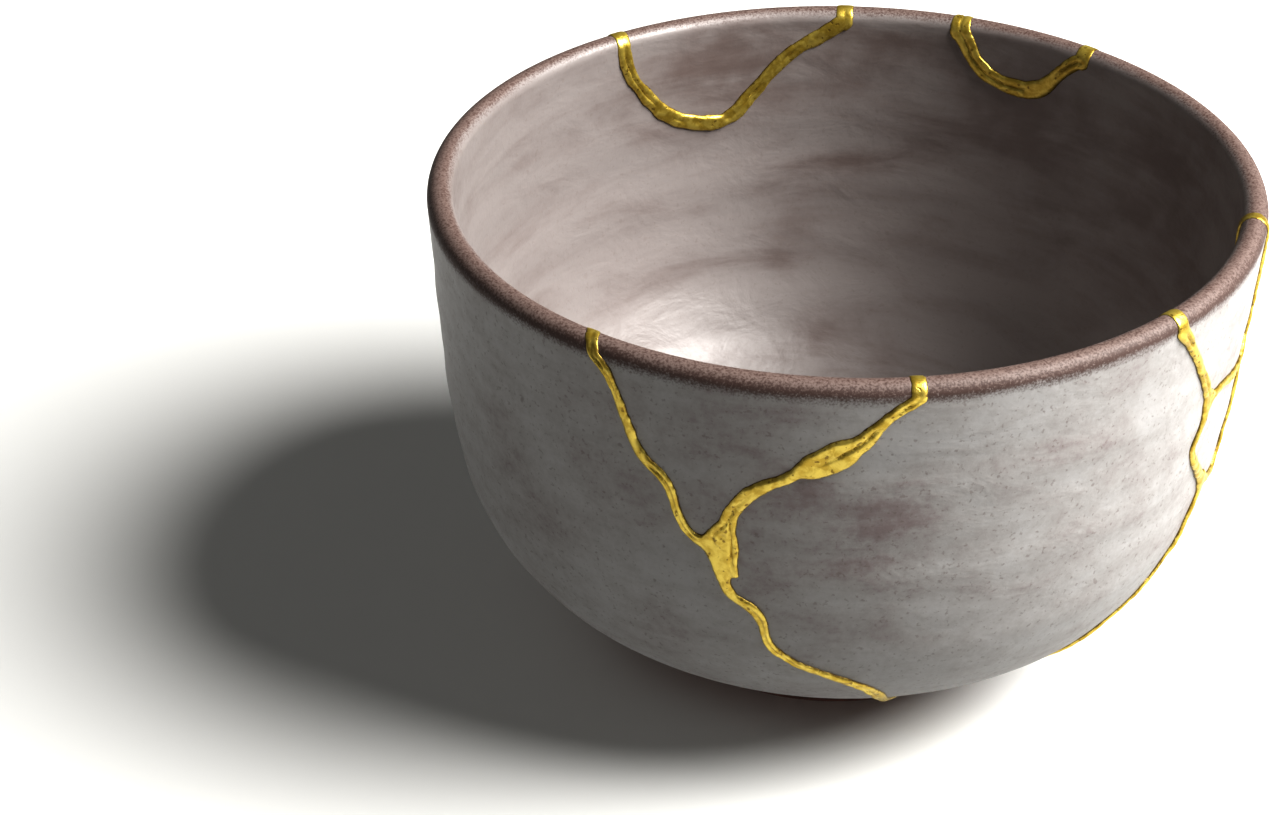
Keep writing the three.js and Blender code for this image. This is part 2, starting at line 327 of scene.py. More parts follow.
# ---- Colours, as light reflected. ----
OUTER_GREY = (0.42, 0.402, 0.392, 1.0)
OUTER_MILK = (0.50, 0.488, 0.484, 1.0)
OUTER_MAUVE = (0.25, 0.20, 0.197, 1.0)
INNER_PALE = (0.285, 0.258, 0.25, 1.0)
INNER_BROWN = (0.165, 0.13, 0.12, 1.0)
SPECK_BROWN = (0.15, 0.11, 0.095, 1.0)
IRON_BROWN = (0.065, 0.030, 0.022, 1.0)
IRON_PALE = (0.185, 0.132, 0.115, 1.0)
CLAY_DARK = (0.07, 0.026, 0.018, 1.0)
CLAY_RED = (0.15, 0.06, 0.04, 1.0)
GOLD_BRIGHT = (0.60, 0.475, 0.11, 1.0)
GOLD_DEEP = (0.42, 0.30, 0.045, 1.0)
# The gold's shaded olive, painted into the pits as shade.
GOLD_SHADE = (0.20, 0.13, 0.02, 1.0)
LACQUER_BROWN = (0.09, 0.05, 0.02, 1.0)
FLOOR_PALE = (0.84, 0.84, 0.828, 1.0)

# ---- Noise in the materials: [scale in cells a metre, detail, roughness, distortion]. ----
GLAZE_NOISES = {
    "patches": (60.0, 4.0, 0.55, 0.5),
    "spots": (420.0, 1.0, 0.4, 0.0),
    "peel": (500.0, 3.0, 0.5, 0.0),
    "weave": (620.0, 5.0, 0.75, 0.0),
    "mottle": (900.0, 4.0, 0.65, 0.0),
    "specks": (1500.0, 2.0, 0.5, 0.0),
    "powder": (3200.0, 2.0, 0.6, 0.0),
}
# Noise drawn out round the bowl: [stretch round it, stretch along the section, shift], and as above.
BRUSHED_NOISES = {
    "clouds": ((2.6, 0.085, 3.0), (1.9, 4.0, 0.55, 0.5)),
    "streaks": ((3.0, 0.42, 9.0), (1.5, 5.0, 0.6, 0.3)),
    "rings": ((1.3, 0.075, 20.0), (1.7, 4.0, 0.55, 0.6)),
    "brushing": ((1.6, 0.30, 40.0), (1.6, 4.0, 0.6, 0.3)),
}
GOLD_NOISES = {
    "brushing": (620.0, 5.0, 0.6, 0.5),
    "shaded_pits": (1300.0, 1.0, 0.4, 0.0),
    "powder": (2600.0, 3.0, 0.6, 0.0),
}
# How much of each noise goes into the wear of the glaze; inside, the cloud attribute also brings painted
# shade.
OUTER_WEAR = {"clouds": 0.75, "patches": 0.5, "streaks": 0.24, "weave": 0.50, "mottle": 0.16, "cloud_and_shade": 0.36}
INNER_WEAR = {"rings": 0.8, "brushing": 0.2, "mottle": 0.10, "cloud_and_shade": 0.42}
# Within this radius, in metres, brushed noise runs straight across, so it doesn't pinch in the middle.
BRUSHED_CORE = 0.025

# ---- The glaze. A range is the pair of values between which something goes from none to full. ----
INSIDE_RANGE = (2.0, -2.0)
MAUVE_RANGE = (1.04, 1.50)
MILK_RANGE = (1.12, 0.88)
MILK_SHARE = 0.7
BROWN_RANGE = (0.45, 0.95)
SPECK_RANGE = (0.60, 0.72)
SPOT_RANGE = (0.76, 0.80)
# Outside and inside the bowl.
SPECK_SHARES = (0.42, 0.15)
SPOT_SHARES = (0.45, 0.12)
GLAZE_ROUGHNESS = (0.40, 0.31)
ROUGHNESS_MOTTLE = 0.16
GLAZE_IOR = 1.5
# Bumps: [height in metres, strength].
GLAZE_BUMPS = {"clouds": (0.0010, 0.25), "streaks": (0.00010, 0.25), "peel": (0.00010, 0.4)}
SPOT_BUMP = (-0.00004, 0.4)

# ---- The iron-brown rim, whose band is centred a little outside the lip's top. ----
IRON_MIDDLE = 0.9
IRON_RANGE = (3.1, 1.5)
IRON_RAGGED = {"powder": 2.0, "streaks": 1.6}
IRON_COVER = 0.95
IRON_ROUGHER = 0.12
IRON_LINE_RAGGED = 1.6
IRON_LINE_RANGE = (1.6, 3.6)
IRON_LINE_DARKER = -0.26
IRON_GRAIN_RANGE = (0.28, 0.62)

# ---- The bare clay of the foot, from just above the shoulder down. ----
CLAY_RAGGED = 4.0
CLAY_START = -4.2
CLAY_FULL = -3.6
CLAY_MOTTLE_RANGE = (0.35, 0.7)
CLAY_ROUGHNESS = 0.85

# ---- The gold's surface. ----
GOLD_METALLIC = 0.7
GOLD_ROUGHNESS = 0.22
GOLD_ROUGHNESS_POWDER = 0.3
GOLD_TONE_RANGE = (0.38, 0.62)
PIT_RANGE = (0.66, 0.73)
PIT_COVER = 0.85
LACQUER_RAGGED = 0.2
LACQUER_RANGE = (0.10, 0.02)
LACQUER_COVER = 0.75
GOLD_BUMPS = {"brushing": (0.00012, 0.5), "powder": (0.00004, 0.6)}
PIT_BUMP = (-0.00006, 0.6)

# ---- The view, in millimetres and degrees. ----
SENSOR_WIDTH = 36.0
LENS_LENGTH = 73.5566
CAMERA_PLACE = (0.0, -335.75, 241.80)
CAMERA_YAW = 5.09
CAMERA_PITCH = 31.97
CAMERA_ROLL = 0.93

# ---- Clip distances, the floor and the light, in metres, degrees and watts. ----
CLIP_NEAR = 0.01
CLIP_FAR = 20.0
FLOOR_SIZE = 3.0
FLOOR_ROUGHNESS = 0.9
FLOOR_SPECULAR = 0.1
KEY_AZIMUTH = -6.0
KEY_ELEVATION = 47.0
KEY_DISTANCE = 0.8
KEY_POWER = 20.5
KEY_WIDTH = 0.57
KEY_TINT = (1.0, 0.99, 0.97)
SKY_TINT = (1.0, 1.0, 0.97, 1.0)
SKY_STRENGTH = 0.165
BOUNCE_STRENGTH = 0.40
HORIZON_BAND = 0.02
VIEW_GAMMA = 0.74


# ---- Lines. ----
def bezier(points, count):
    share = np.linspace(0.0, 1.0, count)[:, None]
    a, b, c, d = (np.array(point, float) for point in points)
    rest = 1.0 - share
    return rest**3 * a + 3 * rest**2 * share * b + 3 * rest * share**2 * c + share**3 * d


def lengths(points):
    """The distance travelled along a row of points, from zero at its first."""
    return np.concatenate([[0.0], np.cumsum(np.linalg.norm(np.diff(points, axis=0), axis=1))])


def resampled(points, step):
    """The same line with points a step apart."""
    run = lengths(points)
    spots = np.linspace(0.0, run[-1], max(2, int(round(run[-1] / step)) + 1))
    return np.stack([np.interp(spots, run, column) for column in points.T], axis=1)


def softened(points, rounds):
    """The line with its corners rounded off and its ends kept."""
    made = points.copy()
    for _ in range(rounds):
        made[1:-1] = (made[:-2] + 2 * made[1:-1] + made[2:]) / 4
    return made


class Section:
    """The bowl's outline from the middle of its floor, over the lip, to the middle of its underside."""

    def __init__(self):
        middle = RIM_RADIUS - LIP_RADIUS
        turn = np.linspace(math.pi, 0.0, LIP_POINTS)
        lip = np.stack([middle + LIP_RADIUS * np.cos(turn), LIP_HEIGHT + LIP_RADIUS * np.sin(turn)], axis=1)
        inner = bezier([(middle - LIP_RADIUS, LIP_HEIGHT), *INNER_HANDLES, (0.0, FLOOR_HEIGHT)], CURVE_POINTS)
        outer = bezier([(RIM_RADIUS, LIP_HEIGHT), *OUTER_HANDLES, SHOULDER], CURVE_POINTS)
        foot = softened(resampled(np.array(FOOT), FOOT_ROUNDING_STEP), FOOT_ROUNDING)
        line = resampled(np.concatenate([inner[::-1], lip[1:], outer[1:], foot[1:]]), SECTION_STEP)
        run = lengths(line)
        top = run[np.argmax(line[:, 1])]
        self.along = run - top
        self.radius, self.height = line.T
        direction = np.gradient(line, axis=0)
        direction /= np.linalg.norm(direction, axis=1)[:, None]
        self.out, self.up = -direction[:, 1], direction[:, 0]
        half_lip = math.pi / 2 * LIP_RADIUS
        self.inner_top, self.outer_top = -half_lip, half_lip
        self.shoulder = half_lip + lengths(outer)[-1]

    def at(self, along):
        """Radius, height, and the normal's outward and upward shares."""
        columns = (self.radius, self.height, self.out, self.up)
        return [np.interp(along, self.along, column) for column in columns]

    def outer_along(self, height):
        """The place along the section at a height on the outer wall."""
        wall = (self.along >= self.outer_top) & (self.along <= self.shoulder)
        return np.interp(-height, -self.height[wall], self.along[wall])

    def inner_along(self, height):
        """The place along the section at a height on the inner wall."""
        wall = self.along <= self.inner_top
        return np.interp(height, self.height[wall], self.along[wall])

    def across(self, along):
        """The place on the inner wall straight through the clay from a place on the outer one."""
        radius, height, out, up = self.at(along)
        inner = self.along <= self.inner_top
        rise = (self.height[inner] - height) * out - (self.radius[inner] - radius) * up
        below = min(np.flatnonzero(rise <= 0.0)[-1], inner.sum() - 2)
        return np.interp(0.0, rise[below : below + 2], self.along[below : below + 2])


SECTION = Section()


# ---- Noise and the surface. ----
HASH_FACTORS = (73856093, 19349663, 83492791)
SEED_FACTOR = 2654435761
MIX_FACTOR = 1274126177
LOW_BITS = 0xFFFF


def grain(points, cell, seed):
    """Smooth noise from -1 to 1, with lumps about one cell across."""
    spots = points / cell
    low = np.floor(spots).astype(np.int64)
    share = spots - low
    share = share * share * (3 - 2 * share)
    total = np.zeros(len(points))
    for corner in itertools.product((0, 1), repeat=3):
        x, y, z = ((low + np.array(corner)) * np.array(HASH_FACTORS)).T
        mixed = x ^ y ^ z ^ seed * SEED_FACTOR
        mixed = (mixed ^ (mixed >> 13)) * MIX_FACTOR
        value = ((mixed ^ (mixed >> 16)) & LOW_BITS) / (LOW_BITS / 2) - 1.0
        total += value * np.prod(np.where(corner, share, 1.0 - share), axis=1)
    return total


def layered(points, layers):
    """The sum of several layers of noise: [amount, size of its lumps, seed]."""
    return sum(amount * grain(points, cell, seed) for amount, cell, seed in layers)


def smoothstep(value, low, high):
    share = np.clip((value - low) / (high - low), 0.0, 1.0)
    return share * share * (3 - 2 * share)


def ring_heights(along, drift, rings):
    total = np.zeros(len(along))
    for height, spacing, share, phase in rings:
        total += height * np.sin(along / spacing + share * drift + phase)
    return total


def relief(angle, along):
    """Throwing rings: how far the glaze stands out, in millimetres."""
    inside = smoothstep(-along, *INNER_RING_START)
    outside = smoothstep(along, *OUTER_RING_START)
    outside *= smoothstep(SECTION.shoulder - along, 0.0, OUTER_RING_START[0])
    drift = sum(amount * np.sin(waves * angle + phase) for amount, waves, phase in RING_DRIFT)
    outer = ring_heights(along, drift, OUTER_RINGS)
    return inside * ring_heights(along, drift, INNER_RINGS) + outside * outer


def out_of_round(points):
    """The thrown lip isn't a true circle: a slow pull that grows from the shoulder to the lip."""
    angle = np.arctan2(points[:, 1], points[:, 0])
    height_share = np.clip((points[:, 2] - SHOULDER[1]) / (LIP_HEIGHT - SHOULDER[1]), 0.0, 1.0)
    pull = PULL_BETWEEN_AXES * np.sin(2 * angle) + PULL_ALONG_AXES * np.cos(2 * angle)
    grown = 1.0 + height_share * pull / RIM_RADIUS
    return points * np.stack([grown, grown, np.ones(len(points))], axis=1)


def place(angle, along, rise):
    """Points on the round bowl, at a rise above the glaze, in millimetres."""
    radius, height, out, up = SECTION.at(along)
    reach = radius + rise * out
    return np.stack([reach * np.cos(angle), reach * np.sin(angle), height + rise * up], axis=-1)


# ---- Meshes. ----
def mesh_object(name, points, faces):
    """An object with this mesh, in the scene. Points are an array and faces are lists of corners."""
    mesh = bpy.data.meshes.new(name)
    mesh.from_pydata(points.tolist(), [], faces)
    mesh.update()
    made = bpy.data.objects.new(name, mesh)
    bpy.context.scene.collection.objects.link(made)
    return made


def vertices_of(mesh):
    flat = np.empty(3 * len(mesh.vertices))
    mesh.vertices.foreach_get("co", flat)
    return flat.reshape(-1, 3)


def section_rows():
    """The places along the section where the turned mesh has a ring, closer at the lip and the foot."""
    low, high = SECTION.along[0], SECTION.along[-1]
    stretches = [
        (low, -LIP_REACH, WALL_STEP),
        (-LIP_REACH, LIP_REACH, LIP_STEP),
        (LIP_REACH, SECTION.shoulder - FOOT_MARGIN, WALL_STEP),
        (SECTION.shoulder - FOOT_MARGIN, high, FOOT_STEP),
    ]
    rows = [np.linspace(a, b, int((b - a) / step) + 1)[:-1] for a, b, step in stretches]
    return np.concatenate([*rows, [high]])


def turned_bowl():
    """The whole round bowl as one closed mesh, in millimetres."""
    rows = section_rows()
    turn = np.arange(TURN_STEPS) * (2 * math.pi / TURN_STEPS)
    along, angle = np.meshgrid(rows[1:-1], turn, indexing="ij")
    rings = place(angle.ravel(), along.ravel(), 0.0)
    poles = place(np.zeros(2), rows[[0, -1]], 0.0)
    points = np.concatenate([rings, poles])
    count = len(rows) - 2
    here = np.arange(TURN_STEPS)
    after = (here + 1) % TURN_STEPS
    faces = []
    for i in range(count - 1):
        a, b = i * TURN_STEPS, (i + 1) * TURN_STEPS
        faces.append(np.stack([a + here, a + after, b + after, b + here], axis=1))
    floor_pole, foot_pole = len(rings), len(rings) + 1
    last = (count - 1) * TURN_STEPS
    caps = np.concatenate(
        [
            np.stack([after, here, np.full(TURN_STEPS, floor_pole)], axis=1),
            np.stack([last + here, last + after, np.full(TURN_STEPS, foot_pole)], axis=1),
        ]
    )
    quads = np.concatenate(faces)
    return mesh_object("turned_bowl", points, quads[:, ::-1].tolist() + caps[:, ::-1].tolist())


# ---- Crack routes as lines of places. ----
def smooth_route(route):
    """Angle, distance along the section, width and lean, every ROUTE_STEP along the outer face.

    The line runs one step past a join, so that the cracks that meet there part the clay fully.
    """
    knots = np.array([(*point, 0.0)[:4] for point in route])
    knots[:, 0] = np.radians(knots[:, 0])
    knots[:, 3] = np.radians(knots[:, 3])
    knots[:, 1] = SECTION.outer_along(knots[:, 1])
    flat = knots * np.array([RIM_RADIUS, 1.0, 1.0, 1.0])
    line = softened(resampled(flat, ROUTE_STEP), ROUTE_SOFTENING)
    for end, near in ((0, 1), (-1, -2)):
        if not on_rim(route[end]):
            line[end] += line[end] - line[near]
    line[:, 0] /= RIM_RADIUS
    return line


def on_rim(point):
    return point[1] == LIP_HEIGHT


def seam_pairs(route):
    """A crack's line on the outer face and its line on the inner one: angle, place and width."""
    line = smooth_route(route)
    outer = line[:, :3]
    through = np.array([SECTION.across(along) for along in line[:, 1]])
    inner = np.stack([line[:, 0] + line[:, 3], through, line[:, 2]], axis=1)
    return outer, inner


def crossings(route):
    """Outer and inner places of a crack, drawn together over the lip where it meets the rim."""
    outer, inner = seam_pairs(route)
    shares = np.array(LIP_SHARES)[:, None]
    for rim, end, flip in ((on_rim(route[0]), 0, True), (on_rim(route[-1]), -1, False)):
        if not rim:
            continue
        over = outer[end] + (inner[end] - outer[end]) * shares
        under = inner[end] + (outer[end] - inner[end]) * shares
        if flip:
            outer, inner = np.concatenate([over[::-1], outer]), np.concatenate([under[::-1], inner])
        else:
            outer, inner = np.concatenate([outer, over]), np.concatenate([inner, under])
    return outer, inner


def slab(route, width, reach):
    """A thin wall that follows a crack through the clay, past both faces by a reach: points and faces."""
    outer, inner = crossings(route)
    outer_at = place(outer[:, 0], outer[:, 1], reach)
    inner_at = place(inner[:, 0], inner[:, 1], reach)
    across = np.cross(np.gradient(outer_at, axis=0), outer_at - inner_at)
    across *= width / 2 / np.linalg.norm(across, axis=1)[:, None]
    corners = [outer_at + across, outer_at - across, inner_at - across, inner_at + across]
    points = np.stack(corners, axis=1).reshape(-1, 3)
    first = np.arange(0, len(points) - 4, 4)
    end = len(points)
    faces = [[0, 1, 2, 3], [end - 1, end - 2, end - 3, end - 4]]
    for side in range(4):
        after = (side + 1) % 4
        faces += np.stack([first + after, first + side, first + side + 4, first + after + 4], axis=1).tolist()
    return points, faces


# ---- The sherds: the turned bowl, parted along every crack. ----
def parted(bowl, cutters):
    """The bowl's mesh with every cutter taken out of it. The bowl and the cutters are used up."""
    for cutter in cutters:
        cut = bowl.modifiers.new(cutter.name, "BOOLEAN")
        cut.operation, cut.solver, cut.object = "DIFFERENCE", "MANIFOLD", cutter
    graph = bpy.context.evaluated_depsgraph_get()
    mesh = bpy.data.meshes.new_from_object(bowl.evaluated_get(graph))
    for spent in (bowl, *cutters):
        bpy.data.meshes.remove(spent.data)
    return mesh


def connected(count, edges):
    """For each vertex, the lowest vertex that it is joined to."""
    label = np.arange(count)
    while True:
        low = np.minimum(label[edges[:, 0]], label[edges[:, 1]])
        was = label.copy()
        np.minimum.at(label, edges[:, 0], low)
        np.minimum.at(label, edges[:, 1], low)
        label = label[label]
        if (label == was).all():
            return label


def section_places(points):
    """Each point's angle, place along the section and distance from it."""
    tree = kdtree.KDTree(len(SECTION.along))
    for i, (radius, height) in enumerate(zip(SECTION.radius, SECTION.height)):
        tree.insert((radius, height, 0.0), i)
    tree.balance()
    reach = np.hypot(points[:, 0], points[:, 1])
    found = [tree.find((radius, height, 0.0)) for radius, height in zip(reach, points[:, 2])]
    nearest = np.array([index for _, index, _ in found])
    depth = np.array([distance for _, _, distance in found])
    return np.arctan2(points[:, 1], points[:, 0]), SECTION.along[nearest], depth


def finished(points, angle, along, depth):
    """The throwing rings and the pull of the lip put on the round bowl's points."""
    _, _, out, up = SECTION.at(along)
    rise = relief(angle, along) * (1.0 - smoothstep(depth, *RING_DEPTH))
    lifted = points + np.stack([out * np.cos(angle), out * np.sin(angle), up], axis=1) * rise[:, None]
    return out_of_round(lifted) * MM


def cloud_and_shade_strength(points, angle, along):
    """How strongly the darker clouds, and inside the painted shade, show at each place, from zero to one."""
    shade = np.zeros(len(points))
    placed = [(cloud_and_shade, SECTION.outer_along(cloud_and_shade[1])) for cloud_and_shade in OUTER_CLOUDS]
    placed += [(cloud_and_shade, SECTION.inner_along(cloud_and_shade[1])) for cloud_and_shade in INNER_CLOUDS_AND_SHADE]
    for (turn, _, half_width, half_height, strength), level in placed:
        aside = (angle - math.radians(turn) + math.pi) % (2 * math.pi) - math.pi
        away = (aside * RIM_RADIUS / half_width) ** 2 + ((along - level) / half_height) ** 2
        shade = np.maximum(shade, strength * np.exp(-away))
    return np.clip(shade * (1.0 + layered(points, CLOUD_GRAIN)), 0.0, 1.0)


def set_attribute(mesh, name, values):
    mesh.attributes.new(name, "FLOAT", "POINT").data.foreach_set("value", values.astype(np.float32))


def smooth_shade(mesh, degrees):
    mesh.shade_smooth()
    mesh.set_sharp_from_angle(angle=math.radians(degrees))


def parted_bowl():
    """The round bowl parted along every crack, and for each vertex a label that its whole sherd shares."""
    routes = [route for routes in ROUTES.values() for route in routes]
    slabs = [slab(route, CRACK_WIDTH, CRACK_REACH) for route in routes]
    cutters = [mesh_object(f"crack_{i}", points, faces) for i, (points, faces) in enumerate(slabs)]
    whole = parted(turned_bowl(), cutters)
    points = vertices_of(whole)
    edges = np.empty(2 * len(whole.edges), np.int64)
    whole.edges.foreach_get("vertices", edges)
    faces = [tuple(face.vertices) for face in whole.polygons]
    bpy.data.meshes.remove(whole)
    return points, faces, connected(len(points), edges.reshape(-1, 2))


def sherd_labels(points, label):
    """Each sherd's label, read at its mark. A sherd that isn't cut free would share another's."""
    found = {}
    for name, (turn, height) in SHERDS.items():
        mark = place(math.radians(turn), SECTION.outer_along(height), 0.0)
        mine = label[np.argmin(np.linalg.norm(points - mark, axis=1))]
        if mine in found.values():
            raise ValueError(f"{name} isn't cut free of its neighbour")
        found[name] = mine
    return found


def make_sherds(material):
    points, faces, label = parted_bowl()
    angle, along, depth = section_places(points)
    shaped = finished(points, angle, along, depth)
    # The cloud attribute holds darker glaze and, on the inner right wall, painted shade.
    cloud_and_shade = cloud_and_shade_strength(points, angle, along)
    face_label = label[[face[0] for face in faces]]
    for name, mine in sherd_labels(points, label).items():
        kept = label == mine
        number = np.cumsum(kept) - 1
        own = [[int(number[v]) for v in faces[i]] for i in np.flatnonzero(kept[face_label])]
        sherd = mesh_object(name + "_glazed", shaped[kept], own)
        set_attribute(sherd.data, "from_lip", along[kept])
        set_attribute(sherd.data, "cloud_and_shade", cloud_and_shade[kept])
        smooth_shade(sherd.data, SHERD_SHARP_ANGLE)
        sherd.data.materials.append(material)
        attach(sherd, "root")
        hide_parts(name)


# ---- The gold: beads raised over a grid of places on the outer wall, the lip and the inner wall. ----
class GoldGrid:
    """Places over the bowl's faces, in rows along its section and columns round it."""

    def __init__(self):
        self.columns = int(round(2 * math.pi * RIM_RADIUS / GOLD_STEP))
        self.rows = np.arange(-GOLD_INNER_REACH, SECTION.shoulder, GOLD_STEP)
        self.turn = 2 * math.pi / self.columns
        self.radius = SECTION.at(self.rows)[0]

    def filled(self, value):
        return np.full((len(self.rows), self.columns), value)

    def window(self, angles, alongs, reach):
        """The rows and columns within a reach of a stretch of places, and their distances in the face."""
        low = np.searchsorted(self.rows, min(alongs) - reach)
        high = np.searchsorted(self.rows, max(alongs) + reach)
        rows = np.arange(low, high)
        spread = reach / self.radius[rows].min() / self.turn
        first = math.floor(min(angles) / self.turn - spread)
        columns = np.arange(first, math.ceil(max(angles) / self.turn + spread))
        across = (columns[None, :] * self.turn - angles[0]) * self.radius[rows][:, None]
        down = np.broadcast_to((self.rows[rows] - alongs[0])[:, None], across.shape)
        return np.ix_(rows, columns % self.columns), across, down

    def paint(self, field, middle, line):
        """Raises the field to each place's depth inside a bead, and keeps how far the line is from it."""
        for start, end in zip(line[:-1], line[1:]):
            reach = max(start[2], end[2]) / 2 + BLEND_REACH
            spots, across, down = self.window((start[0], end[0]), (start[1], end[1]), reach)
            radius = np.interp(start[1], self.rows, self.radius)
            run = np.array([(end[0] - start[0]) * radius, end[1] - start[1]])
            share = np.clip((across * run[0] + down * run[1]) / max(run @ run, 1e-12), 0.0, 1.0)
            away = np.hypot(across - share * run[0], down - share * run[1])
            inside = (start[2] + (end[2] - start[2]) * share) / 2 - away
            field[spots] = np.maximum(field[spots], inside)
            middle[spots] = np.minimum(middle[spots], away)


GRID = GoldGrid()


def blended(one, other):
    """The higher of two fields, with the corner between them filled where beads run together."""
    near = np.clip(BLEND_REACH - np.abs(one - other), 0.0, None) / BLEND_REACH
    return np.maximum(one, other) + near * near * BLEND_REACH / 4


def uneven(line, seed):
    """A line whose gold wanders off the crack and thins and swells, as a brush leaves it."""
    run = np.zeros((len(line), 3))
    run[:, 0] = np.arange(len(line)) * ROUTE_STEP
    run[:, 1] = SEAM_SPACING * seed
    made = line.copy()
    made[:, 0] += layered(run, WANDER_ROUND) / RIM_RADIUS
    made[:, 1] += layered(run, WANDER_DOWN)
    made[:, 2] *= 1.0 + layered(run, SWELLING)
    return made


def gold_lines(route, seed):
    """The lines that the gold follows: both faces, and over the lip at an end on the rim."""
    outer, inner = seam_pairs(route)
    lines = [uneven(outer, seed), uneven(inner, seed + 0.5)]
    for rim, end in ((on_rim(route[0]), 0), (on_rim(route[-1]), -1)):
        if rim:
            shares = np.linspace(0.0, 1.0, RIM_CROSSING_POINTS)[:, None]
            lines.append(lines[0][end] + (lines[1][end] - lines[0][end]) * shares)
    return lines


def stroke_line(stroke):
    places = [(math.radians(angle), SECTION.outer_along(height), width) for angle, height, width in stroke]
    return np.array(places)


def gold_field(name):
    """Each grid place's depth inside the gold, and its distance from the nearest crack."""
    field, middle = GRID.filled(-GOLD_MARGIN), GRID.filled(GOLD_MARGIN)
    painted = [gold_lines(route, seed + len(name)) for seed, route in enumerate(ROUTES[name])]
    painted += [[stroke_line(stroke)] for stroke in STROKES.get(name, [])]
    for lines in painted:
        own = GRID.filled(-GOLD_MARGIN)
        for line in lines:
            GRID.paint(own, middle, line)
        field = blended(field, own)
    return field, middle


def grid_triangles(above):
    """Two triangles for each cell of the grid that has a corner in the gold."""
    near = above | np.roll(above, -1, axis=1)
    near = np.flatnonzero((near[:-1] | near[1:]).ravel())
    row, column = np.divmod(near, GRID.columns)
    a, b = near, row * GRID.columns + (column + 1) % GRID.columns
    c, d = b + GRID.columns, a + GRID.columns
    return np.concatenate([np.stack([a, b, c], axis=1), np.stack([a, c, d], axis=1)])


def lone_first(triangles, inside, lone):
    """The triangles turned so that the one corner that differs from the other two is first."""
    first = np.argmax(inside == lone, axis=1)
    return np.take_along_axis(triangles, (first[:, None] + np.arange(3)) % 3, axis=1)


def cut_faces(field):
    """Triangles over the places above zero, cut along the zero line, and the grid edges that are cut.

    A corner below field.size is a place on the grid. The rest number the cut edges, in order.
    """
    above = field > 0
    triangles = grid_triangles(above)
    inside = above.ravel()[triangles]
    count = inside.sum(axis=1)
    whole = triangles[count == 3]
    tips = lone_first(triangles[count == 1], inside[count == 1], True)
    stumps = lone_first(triangles[count == 2], inside[count == 2], False)
    cuts = np.concatenate([tips[:, [0, 1]], tips[:, [0, 2]], stumps[:, [0, 1]], stumps[:, [0, 2]]])
    edges, which = np.unique(np.sort(cuts, axis=1), axis=0, return_inverse=True)
    sizes = np.cumsum([len(tips), len(tips), len(stumps)])
    tip_right, tip_left, stump_right, stump_left = np.split(field.size + which.reshape(-1), sizes)
    corners = [
        (tips[:, 0], tip_right, tip_left),
        (stump_right, stumps[:, 1], stumps[:, 2]),
        (stump_right, stumps[:, 2], stump_left),
    ]
    return np.concatenate([whole, *(np.stack(three, axis=1) for three in corners)]), edges


def cut_places(field, ends):
    """Angle and place along the section where the field is zero on each cut edge of the grid."""
    values = field.ravel()[ends]
    share = values[:, 0] / (values[:, 0] - values[:, 1])
    row, column = np.divmod(ends, GRID.columns)
    half = GRID.columns // 2
    step = (column[:, 1] - column[:, 0] + half) % GRID.columns - half
    angle = (column[:, 0] + share * step) * GRID.turn
    return angle, GRID.rows[row[:, 0]] * (1 - share) + GRID.rows[row[:, 1]] * share


def clipped(field, middle):
    """The part of the grid in the gold: angle, place, depth in it, distance from the crack, and faces."""
    faces, edges = cut_faces(field)
    used, faces = np.unique(faces, return_inverse=True)
    own = used[used < field.size]
    ends = edges[used[used >= field.size] - field.size]
    row, column = np.divmod(own, GRID.columns)
    cut_angle, cut_along = cut_places(field, ends)
    angle = np.concatenate([column * GRID.turn, cut_angle])
    along = np.concatenate([GRID.rows[row], cut_along])
    depth = np.concatenate([field.ravel()[own], np.zeros(len(ends))])
    off_line = np.concatenate([middle.ravel()[own], middle.ravel()[ends[:, 0]]])
    return angle, along, depth, off_line, faces.reshape(-1, 3)


def rim_edges(faces):
    """The edges that only one face has, as that face runs round them."""
    edges = np.concatenate([faces[:, [0, 1]], faces[:, [1, 2]], faces[:, [2, 0]]])
    size = faces.max() + 1
    keys, back = edges[:, 0] * size + edges[:, 1], edges[:, 1] * size + edges[:, 0]
    return edges[~np.isin(keys, back)]


def bead_rise(points, along, depth, off_line):
    """How high the gold stands: round at its edge, level in a pool, lumpy, and furrowed along the crack."""
    share = np.clip(depth / BEAD_SHOULDER, 0.0, 1.0)
    round_top = np.sqrt(1.0 - (1.0 - share) ** 2)
    lumps = 1.0 + layered(points, LUMPS)
    lumps *= LIP_FLATTENING + (1.0 - LIP_FLATTENING) * smoothstep(np.abs(along), *LIP_BAND)
    furrowed = smoothstep(grain(points, FURROW_CELL, FURROW_SEED), *FURROW_RANGE)
    furrow = FURROW_DEPTH * furrowed * np.exp(-((off_line / FURROW_WIDTH) ** 2))
    return round_top * np.maximum(BEAD_HEIGHT * lumps - furrow, LEAST_BEAD)


def ragged_field(field):
    """The gold's depth with an uneven edge, and no place so near the edge that a face would be a sliver."""
    row, column = np.nonzero(field > -EDGE_REACH)
    spots = place(column * GRID.turn, GRID.rows[row], 0.0)
    made = field.copy()
    made[row, column] += layered(spots, RAGGED_EDGE)
    made[np.abs(made) < LEAST_DEPTH] = LEAST_DEPTH
    return made


def gold_skin(name):
    """The closed raised skin of a network of gold: points, faces, and each top point's depth in the gold."""
    field, middle = gold_field(name)
    angle, along, depth, off_line, faces = clipped(ragged_field(field), middle)
    base = relief(angle, along)
    top = place(angle, along, base + bead_rise(place(angle, along, 0.0), along, depth, off_line))
    bottom = place(angle, along, base - GOLD_DEPTH)
    count = len(top)
    start, end = rim_edges(faces).T
    start_below, end_below = start + count, end + count
    sides = [np.stack([end, start, start_below], axis=1), np.stack([end, start_below, end_below], axis=1)]
    skin = np.concatenate([faces, faces[:, ::-1] + count, *sides])
    return np.concatenate([top, bottom]), skin[:, ::-1].tolist(), depth


